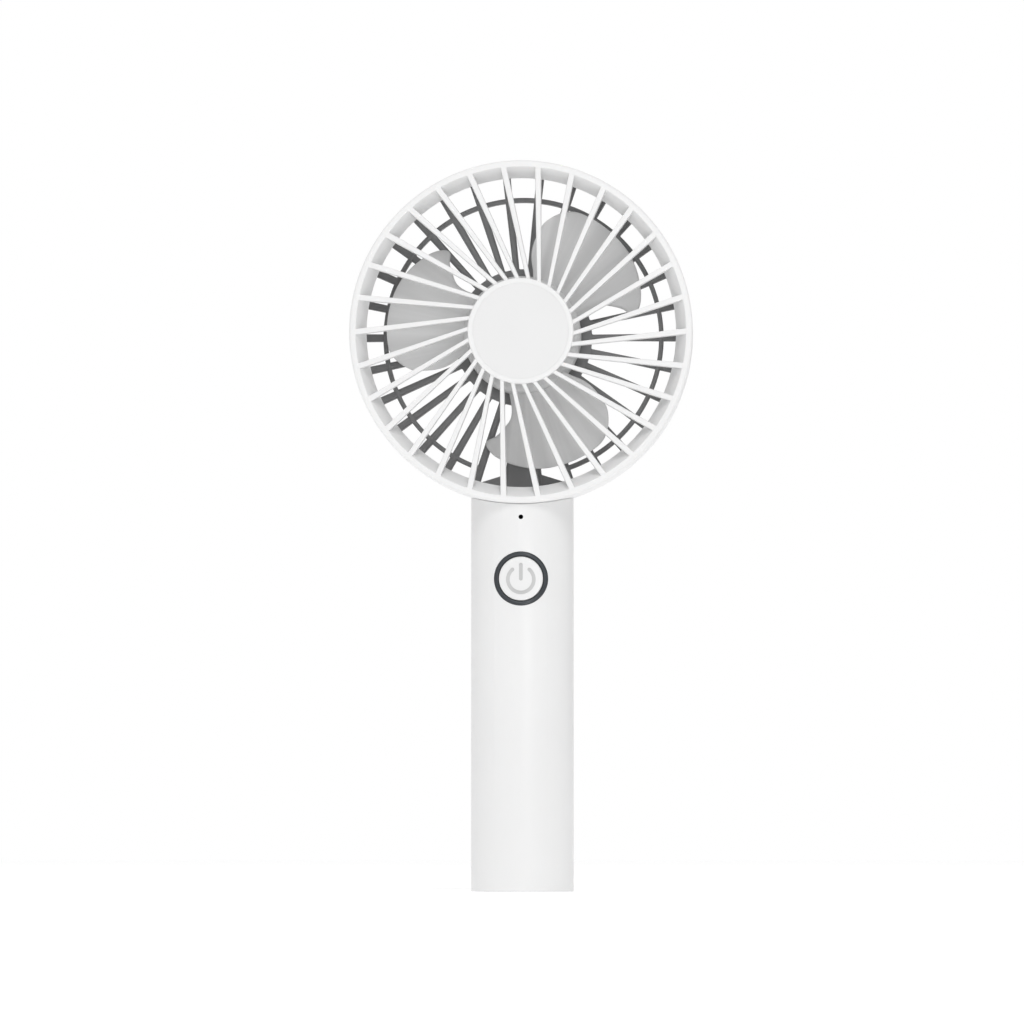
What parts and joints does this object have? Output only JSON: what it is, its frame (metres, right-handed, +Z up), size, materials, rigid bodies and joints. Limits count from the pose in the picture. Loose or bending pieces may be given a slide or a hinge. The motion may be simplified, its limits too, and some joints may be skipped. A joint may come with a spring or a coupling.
{
  "type": "handheld electric fan",
  "caption": "Battery handheld fan: round caged head with a leaning-spoke front grille and a three-blade rotor, on a plain cylindrical handle with a round power button.",
  "frame": {"origin": "centre of the flat bottom of the handle", "axes": "+Z up along the handle, air leaves the head towards -Y, +X to the right as seen from the front"},
  "size_m": [0.102, 0.0347, 0.217],
  "materials": {
    "shell_white": "satin",
    "grille_white": "satin",
    "cap_white": "satin",
    "guard_grey": "satin",
    "rotor_grey": "satin",
    "yoke_steel": "zinc plated",
    "magnet": "sintered",
    "shaft_steel": "ground",
    "spring_steel": "oiled",
    "brass": "turned",
    "bearing_steel": "polished",
    "core_steel": "laminated",
    "copper": "enamelled",
    "board_green": "solder mask",
    "wire_red": "satin",
    "wire_black": "satin",
    "frame_plastic": "moulded",
    "screw_steel": "zinc plated",
    "socket_steel": "satin",
    "switch_black": "moulded",
    "led_smoked": "smoked",
    "button_white": "satin",
    "ring_slate": "satin",
    "cell_wrap": "shrink wrapped",
    "nickel": "nickel strip"
  },
  "bodies": {
    "casing": {"front_grille": "grille_white", "grille_cap": "cap_white", "rear_housing": "shell_white", "rear_guard": "guard_grey", "bearing_tube": "brass", "front_bearing": "bearing_steel", "rear_bearing": "bearing_steel", "stator_core": "core_steel", "stator_windings": "copper", "motor_board": "board_green", "motor_lead_red": "wire_red", "motor_lead_black": "wire_black", "handle_tube": "shell_white", "inner_frame": "frame_plastic", "neck_screws": "screw_steel", "bottom_cap": "shell_white", "base_screws": "screw_steel", "control_board": "board_green", "usb_socket": "socket_steel", "tact_switch": "switch_black", "status_led": "led_smoked", "button_ring": "ring_slate", "battery_cell": "cell_wrap", "battery_tabs": "nickel", "battery_lead_red": "wire_red", "battery_lead_black": "wire_black"},
    "rotor_assembly": {"rotor": "rotor_grey", "rotor_yoke": "yoke_steel", "magnet_ring": "magnet", "motor_shaft": "shaft_steel", "shaft_clip": "spring_steel"},
    "button": {"power_button": "button_white"},
    "plunger": {"switch_plunger": "switch_black"}
  },
  "joints": [
    {"name": "rotor_spin", "type": "hinge", "parent": "casing", "child": "rotor_assembly", "pos_m": [0, 0, 0.166], "axis": [0, 1, 0], "continuous": true},
    {"name": "button_press", "type": "slide", "parent": "casing", "child": "button", "axis": [0, 1, 0], "range_m": [0, 0.0004], "stiffness_N_per_m": 2500},
    {"name": "switch_press", "type": "slide", "parent": "casing", "child": "plunger", "axis": [0, 1, 0], "range_m": [0, 0.0004]}
  ],
  "couplings": [
    {"joint": "switch_press", "follows": "button_press", "ratio": 1}
  ]
}
